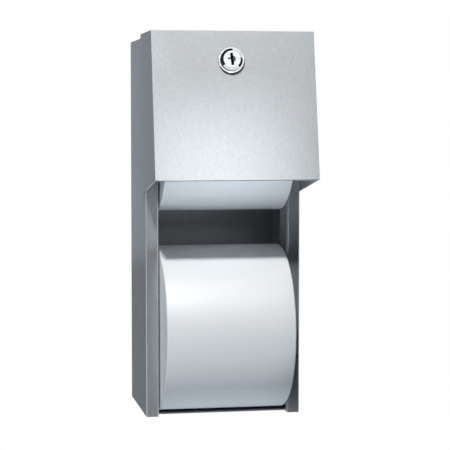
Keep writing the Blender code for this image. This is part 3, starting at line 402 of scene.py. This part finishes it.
def dress_nodes():
    """Give each CAD node its slot's material, with a finish of their own for plates and rails."""
    slots = {entry["node"]: entry["material_slot"] for entry in frame["record"]["subparts"]}
    for name, part in NODES.items():
        finish = SLOT_MATERIALS[slots[name]]
        if name.endswith("_inner_plate"):
            finish = GALVANISED
        if name.endswith("_rail"):
            finish = PHOSPHATED
        for slot in part.material_slots:
            slot.material = finish


dress_nodes()


# Hood

FOLD_RADIUS = 0.2 * MM
FOLD_STEPS = 3
LEAST_FOLD_DEGREES = 30.0
STUD_RADIUS = 3.0 * MM
STUD_LENGTH = 5.2 * MM
STUD_ROOT = 0.2 * MM
STUD_ROUNDING = 0.5 * MM
STUD_STEPS = 40


def hood_sheet():
    """The hood: front, top and sides folded from one sheet, with a hem on its lower front edge."""
    shape = bmesh.new()
    bmesh.ops.create_cube(shape, size=2 * HOOD_HALF)
    open_faces = [face for face in shape.faces if face.normal.y > 0.5 or face.normal.z < -0.5]
    # Whether a corner is at the rear and at the top says where it goes.
    places = {
        (False, False): HOOD_FRONT_LOW,
        (False, True): (HOOD_FRONT_TOP, HOOD_TOP),
        (True, False): HOOD_REAR_LOW,
        (True, True): (HOOD_REAR_TOP, HOOD_TOP),
    }
    for corner in shape.verts:
        corner.co.y, corner.co.z = places[(corner.co.y > 0, corner.co.z > 0)]
    bmesh.ops.delete(shape, geom=open_faces, context="FACES_ONLY")
    for side in (-1, 1):
        everything = list(shape.verts) + list(shape.edges) + list(shape.faces)
        bmesh.ops.bisect_plane(shape, geom=everything, plane_no=(1.0, 0.0, 0.0),
                               plane_co=(side * (HOOD_HALF - HOOD_HEM_NOTCH), 0.0, 0.0))
    low_edges = [edge for edge in shape.edges
                 if all(abs(corner.co.z - HOOD_FRONT_LOW[1]) < NEAR for corner in edge.verts)
                 and all(abs(corner.co.x) < HOOD_HALF - MM for corner in edge.verts)]
    hem = bmesh.ops.extrude_edge_only(shape, edges=low_edges)["geom"]
    inward = Vector((0.0, math.cos(HOOD_SLANT), -math.sin(HOOD_SLANT)))
    bmesh.ops.translate(shape, vec=inward * HOOD_HEM, verts=of_kind(bmesh.types.BMVert, hem))
    bmesh.ops.dissolve_limit(shape, angle_limit=math.radians(1.0), verts=shape.verts,
                             edges=shape.edges)
    made = piece("hood_sheet", shape, [STAINLESS], "door", ["door_shell"],
                 smooth_under=0.0)
    folds = made.modifiers.new("folds", "BEVEL")
    folds.width = FOLD_RADIUS
    folds.segments = FOLD_STEPS
    folds.limit_method = "ANGLE"
    folds.angle_limit = math.radians(LEAST_FOLD_DEGREES)
    wall = made.modifiers.new("sheet", "SOLIDIFY")
    wall.thickness = HOOD_SHEET
    wall.offset = -1.0
    wall.use_even_offset = True


def hood_studs():
    """The two pins that the hood swings on, each rooted in the sheet and pointing inwards."""
    shape = bmesh.new()
    profile = [(0.0, -STUD_ROOT), (STUD_RADIUS, -STUD_ROOT), (STUD_RADIUS, STUD_LENGTH),
               (0.0, STUD_LENGTH)]
    for side in (-1, 1):
        stand = Matrix.Translation((side * (HOOD_HALF - HOOD_SHEET), PIVOT[0], PIVOT[1]))
        inwards = Matrix.Rotation(-side * math.pi / 2, 4, "Y")
        add_shape(shape, turned(profile, STUD_STEPS, stand @ inwards, [2], STUD_ROUNDING))
    piece("hood_studs", shape, [ZINC], "door", ["door_shell"])


hood_sheet()
hood_studs()


# Lock

# Heights are measured outwards along the lock's axis, from a point in the hood's outer face.
LOCK_FRAME = Matrix.Translation(LOCK_PLACE) @ Matrix.Rotation(math.pi / 2 - HOOD_SLANT, 4, "X")
LOCK_STEPS = 96
FACE_HEIGHT = 4.4 * MM
FACE_RADIUS = 6.6 * MM
HEAD_RADIUS = 8.6 * MM
BEVEL_FOOT = 2.71 * MM
# Heights of the step wall that is painted black as shade
PAINTED_SHADE_STEP_HEIGHTS = (1.5 * MM, 2.6 * MM)
FLANGE_RADIUS = 10.0 * MM
FLANGE_TOP = 1.4 * MM
FLANGE_UNDERSIDE = 1.2 * MM
FLANGE_ROUNDING = 0.1 * MM
THREAD_RADIUS = 7.4 * MM
THREAD_HEIGHTS = (-HOOD_SHEET, -14.0 * MM)
THREAD_PITCH = 1.1 * MM
THREAD_DEPTH = 0.5 * MM
BODY_END = -15.0 * MM
BODY_END_RADIUS = 7.0 * MM
BODY_FLOOR = -13.4 * MM
TAIL_BORE = 3.5 * MM
PLUG_BORE = 5.415 * MM
GASKET_BORE = 8.6 * MM
GASKET_HEIGHTS = (0.02 * MM, 1.18 * MM)
# The gasket's shift down and right shows its black edge below the flange as a painted shadow.
GASKET_SHADOW_SHIFT = (0.45 * MM, -1.3 * MM, 0.0)
PLUG_RADIUS = 5.4 * MM
PLUG_STEPS = 72
PLUG_END = -13.1 * MM
TAIL_RADIUS = 3.2 * MM
TAIL_END = -17.2 * MM
SCREW_HOLE_RADIUS = 1.7 * MM
SCREW_HOLE_FLOOR = -12.0 * MM


def thread_profile(radius, high, low, pitch, depth):
    """The (radius, height) points of thread ridges that run down a barrel."""
    points = []
    count = int(round((high - low) / pitch))
    for turn in range(count):
        start = high - turn * pitch
        points += [(radius, start - 0.10 * pitch), (radius - depth, start - 0.50 * pitch),
                   (radius, start - 0.90 * pitch)]
    return points


def lock_head():
    """The lock's die-cast body: flat flange, a step wall painted black as shade, bevelled head and
    threaded barrel.
    """
    profile = [
        (PLUG_BORE, FACE_HEIGHT),
        (FACE_RADIUS, FACE_HEIGHT),
        (HEAD_RADIUS, BEVEL_FOOT),
        (HEAD_RADIUS, FLANGE_TOP),
        (FLANGE_RADIUS - FLANGE_ROUNDING, FLANGE_TOP),
        (FLANGE_RADIUS, FLANGE_TOP - FLANGE_ROUNDING),
        (FLANGE_RADIUS, FLANGE_UNDERSIDE),
        (THREAD_RADIUS, FLANGE_UNDERSIDE),
        *thread_profile(THREAD_RADIUS, *THREAD_HEIGHTS, THREAD_PITCH, THREAD_DEPTH),
        (BODY_END_RADIUS, BODY_END),
        (TAIL_BORE, BODY_END),
        (TAIL_BORE, BODY_FLOOR),
        (PLUG_BORE, BODY_FLOOR),
    ]
    shape = turned(profile, LOCK_STEPS, LOCK_FRAME, closed=True)
    axis_out = LOCK_FRAME.to_3x3() @ Vector((0.0, 0.0, 1.0))
    # The step wall between flange and head takes the second, black material as painted shade.
    low, high = PAINTED_SHADE_STEP_HEIGHTS
    for face in shape.faces:
        arm = face.calc_center_median() - Vector(LOCK_PLACE)
        height = arm.dot(axis_out)
        out = (arm - axis_out * height).length
        if low < height < high and abs(out - HEAD_RADIUS) < NEAR:
            face.material_index = 1
    piece("lock_head", shape, [CHROME, BLACK_NYLON_PAINTED_SHADE], "door", ["lock_housing"],
          smooth_under=10.0)


def lock_gasket():
    """The black gasket under the flange, set low and to the right so that its black edge below the
    flange is a painted shadow of the lock.
    """
    low, high = GASKET_HEIGHTS
    profile = [(GASKET_BORE, low), (FLANGE_RADIUS, low), (FLANGE_RADIUS, high), (GASKET_BORE, high)]
    stand = LOCK_FRAME @ Matrix.Translation(GASKET_SHADOW_SHIFT)
    shape = turned(profile, LOCK_STEPS, stand, [1, 2], FLANGE_ROUNDING, closed=True)
    piece("lock_gasket", shape, [BLACK_NYLON_PAINTED_SHADE], "door")


# The keyway: a shallow recess with a dish and a ward, and a deeper slot in its floor
SLOT_HALF = 1.1 * MM
SLOT_TALL = 4.7 * MM
DISH_RADIUS = 2.8 * MM
DISH_STEPS = 16
WARD_REACH = 3.4 * MM
WARD_TOP = 1.3 * MM
KEYWAY_TURN = math.radians(5.0)
KEYWAY_RECESS = 0.3 * MM
KEYWAY_LIP = 0.12 * MM
# The slot ends just in front of the hood's sheet.
KEYWAY_DEPTH = 3.9 * MM


def recess_outline():
    """The recess on the plug's face: upright, with a half-round dish right and a ward left."""
    start = math.asin(math.sqrt(DISH_RADIUS ** 2 - SLOT_HALF ** 2) / DISH_RADIUS)
    angles = [start * (2 * step / DISH_STEPS - 1) for step in range(DISH_STEPS + 1)]
    return [
        (-SLOT_HALF, -SLOT_TALL),
        (SLOT_HALF, -SLOT_TALL),
        *[(DISH_RADIUS * math.cos(angle), DISH_RADIUS * math.sin(angle)) for angle in angles],
        (SLOT_HALF, SLOT_TALL),
        (-SLOT_HALF, SLOT_TALL),
        (-SLOT_HALF, WARD_TOP),
        (-WARD_REACH, WARD_TOP),
        (-WARD_REACH, 0.0),
        (-SLOT_HALF, 0.0),
    ]


def slot_outline():
    """The slot in the recess: a lip narrower on each side."""
    half, tall = SLOT_HALF - KEYWAY_LIP, SLOT_TALL - KEYWAY_LIP
    reach = math.sqrt(DISH_RADIUS ** 2 - half ** 2)
    return [(-half, -tall), (half, -tall), (half, -reach), (half, reach), (half, tall),
            (-half, tall), (-half, WARD_TOP), (-half, 0.0)]


def ring_of_edges(shape, points, height, turn=0.0):
    """A closed loop of edges through flat points at one height, turned about the axis."""
    corners = [shape.verts.new((x, y, height)) for x, y in points]
    edges = [shape.edges.new(pair) for pair in zip(corners, corners[1:] + corners[:1])]
    if turn:
        bmesh.ops.rotate(shape, cent=(0.0, 0.0, 0.0), matrix=Matrix.Rotation(turn, 3, "Z"),
                         verts=corners)
    return edges


def fill_between(shape, edges, material_index):
    """Flat faces inside loops of edges."""
    made = bmesh.ops.triangle_fill(shape, use_beauty=True, use_dissolve=False, edges=edges,
                                   normal=(0.0, 0.0, 1.0))["geom"]
    paint_faces(made, material_index)


def sink(shape, edges, depth, material_index):
    """Walls down from a loop of edges, and the loop of edges at their foot."""
    made = bmesh.ops.extrude_edge_only(shape, edges=edges)["geom"]
    foot = of_kind(bmesh.types.BMVert, made)
    bmesh.ops.translate(shape, vec=(0.0, 0.0, -depth), verts=foot)
    paint_faces(made, material_index)
    return [edge for edge in of_kind(bmesh.types.BMEdge, made)
            if all(corner in foot for corner in edge.verts)]


def lock_core():
    """The plug that the key turns: a flat face with the keyway, and a tail for the cam."""
    shape = bmesh.new()
    angles = [math.tau * step / PLUG_STEPS for step in range(PLUG_STEPS)]
    circle = [(PLUG_RADIUS * math.cos(angle), PLUG_RADIUS * math.sin(angle)) for angle in angles]
    rim = ring_of_edges(shape, circle, FACE_HEIGHT)
    mouth = ring_of_edges(shape, recess_outline(), FACE_HEIGHT, KEYWAY_TURN)
    fill_between(shape, rim + mouth, 0)
    # The recess floor takes the second material, a dark grey that is painted shade.
    recess_foot = sink(shape, mouth, KEYWAY_RECESS, 1)
    slot = ring_of_edges(shape, slot_outline(), FACE_HEIGHT - KEYWAY_RECESS, KEYWAY_TURN)
    fill_between(shape, recess_foot + slot, 1)
    # The slot's walls and floor take the keyway's painted shade.
    slot_foot = sink(shape, slot, KEYWAY_DEPTH, 2)
    fill_between(shape, slot_foot, 2)
    bmesh.ops.transform(shape, matrix=LOCK_FRAME, verts=shape.verts)
    barrel_profile = [
        (PLUG_RADIUS, FACE_HEIGHT),
        (PLUG_RADIUS, PLUG_END),
        (TAIL_RADIUS, PLUG_END),
        (TAIL_RADIUS, TAIL_END),
        (SCREW_HOLE_RADIUS, TAIL_END),
        (SCREW_HOLE_RADIUS, SCREW_HOLE_FLOOR),
        (0.0, SCREW_HOLE_FLOOR),
    ]
    add_shape(shape, turned(barrel_profile, PLUG_STEPS, LOCK_FRAME))
    piece("lock_core", shape, [CHROME, RECESS_PAINTED_SHADE, KEYWAY_PAINTED_SHADE], "lock", ["lock_plug"],
          smooth_under=20.0)


lock_head()
lock_gasket()
lock_core()


# Rolls

ROLL_STEPS = 192
ROLL_ROUNDING = 1.3 * MM


def tissue_roll(name, axis, finish, body, node_name):
    """A full roll: tissue wound on the core, with soft edges and clear ends."""
    profile = [
        (CORE_RADIUS, -HALF_ROLL),
        (ROLL_RADIUS, -HALF_ROLL),
        (ROLL_RADIUS, HALF_ROLL),
        (CORE_RADIUS, HALF_ROLL),
    ]
    stand = Matrix.Translation((0.0, axis[0], axis[1])) @ ALONG_X
    shape = turned(profile, ROLL_STEPS, stand, [1, 2], ROLL_ROUNDING, closed=True)
    piece(name, shape, [finish], body, [node_name])


tissue_roll("lower_tissue", LOWER_ROLL_AXIS, LOWER_TISSUE, "lower_roll", "lower_roll_tissue")
tissue_roll("reserve_tissue", RESERVE_ROLL_AXIS, RESERVE_TISSUE, "reserve_roll",
            "reserve_roll_tissue")


# Spindle springs

WIRE_RADIUS = 0.6 * MM
WIRE_SIDES = 12
SPRING_TURNS = 10
STEPS_PER_TURN = 32


def spindle_spring(node_name, body):
    """The coil in a spindle."""
    low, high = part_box(node_name)
    middle = (low + high) / 2
    steps = STEPS_PER_TURN * SPRING_TURNS
    rise = (high.x - low.x - 2 * WIRE_RADIUS) / steps
    shape = bmesh.new()
    bmesh.ops.create_circle(shape, segments=WIRE_SIDES, radius=WIRE_RADIUS)
    bmesh.ops.rotate(shape, cent=(0.0, 0.0, 0.0), matrix=Matrix.Rotation(math.pi / 2, 3, "X"),
                     verts=shape.verts)
    bmesh.ops.translate(shape, vec=((high.z - low.z) / 2 - WIRE_RADIUS, 0.0, 0.0),
                        verts=shape.verts)
    bmesh.ops.spin(shape, geom=list(shape.verts) + list(shape.edges), cent=(0.0, 0.0, 0.0),
                   axis=(0.0, 0.0, 1.0), dvec=(0.0, 0.0, rise), angle=math.tau * SPRING_TURNS,
                   steps=steps)
    bmesh.ops.holes_fill(shape, edges=shape.edges, sides=0)
    bmesh.ops.recalc_face_normals(shape, faces=shape.faces)
    stand = Matrix.Translation((low.x + WIRE_RADIUS, middle.y, middle.z)) @ ALONG_X
    bmesh.ops.transform(shape, matrix=stand, verts=shape.verts)
    made = piece(node_name + "_coil", shape, [SPRING], body, [node_name])
    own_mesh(made)


spindle_spring("lower_spindle_spring", "cabinet")
spindle_spring("reserve_spindle_spring", "reserve_spindle")


# Studio

COOL_WHITE = "#EEF6FF"
LAMPS = (
    # name, energy, place, target, width and height, colour
    ("key", 32.5, (-0.40, -1.42, 1.464), (0.0, -0.14, -0.01), (0.12, 0.12), "#FFFFFF"),
    ("door_glow", 0.12, (0.045, -0.500, 0.150), (0.0, -0.16, 0.05), (0.15, 0.15), "#FFFFFF"),
    ("roll_glow", 0.115, (0.0, -0.205, -0.035), (0.0, -0.2224, 0.075), (0.10, 0.04), COOL_WHITE),
    ("end_fill", 0.9, (-0.95, -0.36, -0.10), (-0.05, -0.11, 0.0), (0.3, 0.3), COOL_WHITE),
    ("side_box", 0.42, (0.02, 0.60, 0.09), (-0.02, -0.05, 0.065), (0.34, 0.36), "#E4F0FF"),
    ("side_low", 0.12, (0.02, 0.60, -0.21), (-0.02, -0.05, -0.235), (0.34, 0.24), "#E4F0FF"),
    ("low_glow", 0.0016, (0.0, -0.114, -0.168), (0.0, -0.106, -0.140), (0.088, 0.012), COOL_WHITE),
    ("lock_glint", 0.06, (0.27, -1.487, 0.734), (-0.002, -0.142, 0.13), (0.12, 0.12), "#FFFFFF"),
)
FLAGS = (
    # name, middle, half side, half of the other side
    ("front_flag", (0.0, -2.4, -0.1), (2.4, 0.0, 0.0), (0.0, 0.0, 1.4)),
    ("rear_flag", (-0.15, 0.7, 0.0), (0.55, 0.0, 0.0), (0.0, 0.0, 0.9)),
    ("left_flag", (-2.0, -1.1, 0.5), (0.0, 0.7, 0.0), (0.0, 0.0, 1.4)),
    ("high_flag", (-0.475, -0.1, 1.03), (0.725, 0.0, 0.0), (0.0, 0.35, 0.0)),
    ("right_flag", (2.0, -0.5, 0.0), (0.0, 0.7, 0.0), (0.0, 0.0, 0.9)),
    ("flange_flag", (0.0868, -0.142, -0.0725), (0.0333, 0.0, 0.0), (0.0, 0.0, 0.0925)),
)
FLOOR = ((0.0, -0.1, -0.45), (0.8, 0.0, 0.0), (0.0, 0.8, 0.0))
WORLD_SOFT = 0.012
WORLD_WHITE = 1.0
FLOOR_WHITE = 0.8


def add_lamp(name, energy, place, target, size, colour):
    """A soft lamp at a place, aimed at a target, with a width and a height."""
    data = bpy.data.lights.new(name, "AREA")
    data.energy = energy
    data.shape = "RECTANGLE"
    data.size, data.size_y = size
    data.color = linear(colour)[:3]
    lamp = bpy.data.objects.new(name, data)
    bpy.context.scene.collection.objects.link(lamp)
    lamp.location = place
    lamp.rotation_euler = (Vector(target) - Vector(place)).to_track_quat("-Z", "Y").to_euler()
    lamp.visible_camera = False


def clear_rays(owner):
    """One for rays from the camera, and for what shines or is clear, and nothing for the rest."""
    rays = node(owner, "ShaderNodeLightPath").outputs
    shiny = node(owner, "ShaderNodeMath", {"operation": "MAXIMUM"}, i0=rays["Is Camera Ray"],
                 i1=rays["Is Glossy Ray"])
    clear = node(owner, "ShaderNodeMath", {"operation": "MAXIMUM"}, i0=shiny.outputs[0],
                 i1=rays["Is Transmission Ray"])
    return clear.outputs[0]


def make_world():
    """Even soft light, and plain white for the camera and for what shines."""
    world = bpy.data.worlds.new("studio")
    bpy.context.scene.world = world
    world.use_nodes = True
    world.node_tree.nodes.clear()
    soft = node(world, "ShaderNodeBackground", Color=linear(COOL_WHITE), Strength=WORLD_SOFT)
    white = node(world, "ShaderNodeBackground", Color=linear("#FFFFFF"), Strength=WORLD_WHITE)
    mix = node(world, "ShaderNodeMixShader", i0=clear_rays(world), i1=soft.outputs[0],
               i2=white.outputs[0])
    node(world, "ShaderNodeOutputWorld", Surface=mix.outputs[0])


def flag_cloth():
    """The dull black cloth of the studio's flags."""
    return surfaced(empty_material("black_flag_cloth"), Base_Color=linear("#2A2A2A"), Roughness=0.9)


def pale_floor():
    """The floor: matt, so that it keeps the object's shadow, and nearly white where it is seen."""
    material = empty_material("pale_floor")
    seen = node(material, "ShaderNodeMath", {"operation": "MULTIPLY"}, i0=clear_rays(material),
                i1=FLOOR_WHITE)
    matt = node(material, "ShaderNodeBsdfDiffuse", Color=linear("#DFE9F3"))
    white = node(material, "ShaderNodeEmission", Color=linear("#FFFFFF"), Strength=1.0)
    mix = node(material, "ShaderNodeMixShader", i0=seen.outputs[0], i1=matt.outputs[0],
               i2=white.outputs[0])
    node(material, "ShaderNodeOutputMaterial", Surface=mix.outputs[0])
    return material


def add_card(name, material, middle, across, up, camera_sees):
    """A flat rectangle of the studio, from its middle and its two half sides."""
    shape = bmesh.new()
    middle, across, up = Vector(middle), Vector(across), Vector(up)
    signs = ((-1, -1), (1, -1), (1, 1), (-1, 1))
    shape.faces.new([shape.verts.new(middle + a * across + b * up) for a, b in signs])
    mesh = bpy.data.meshes.new(name)
    shape.to_mesh(mesh)
    shape.free()
    mesh.materials.append(material)
    card = bpy.data.objects.new(name, mesh)
    bpy.context.scene.collection.objects.link(card)
    card.visible_camera = camera_sees


def make_studio():
    """Floor, flags, world and lamps."""
    cloth = flag_cloth()
    add_card("floor", pale_floor(), *FLOOR, True)
    for name, middle, across, up in FLAGS:
        add_card(name, cloth, middle, across, up, False)
    make_world()
    for lamp_row in LAMPS:
        add_lamp(*lamp_row)
    bpy.context.scene.view_settings.view_transform = "Standard"


make_studio()
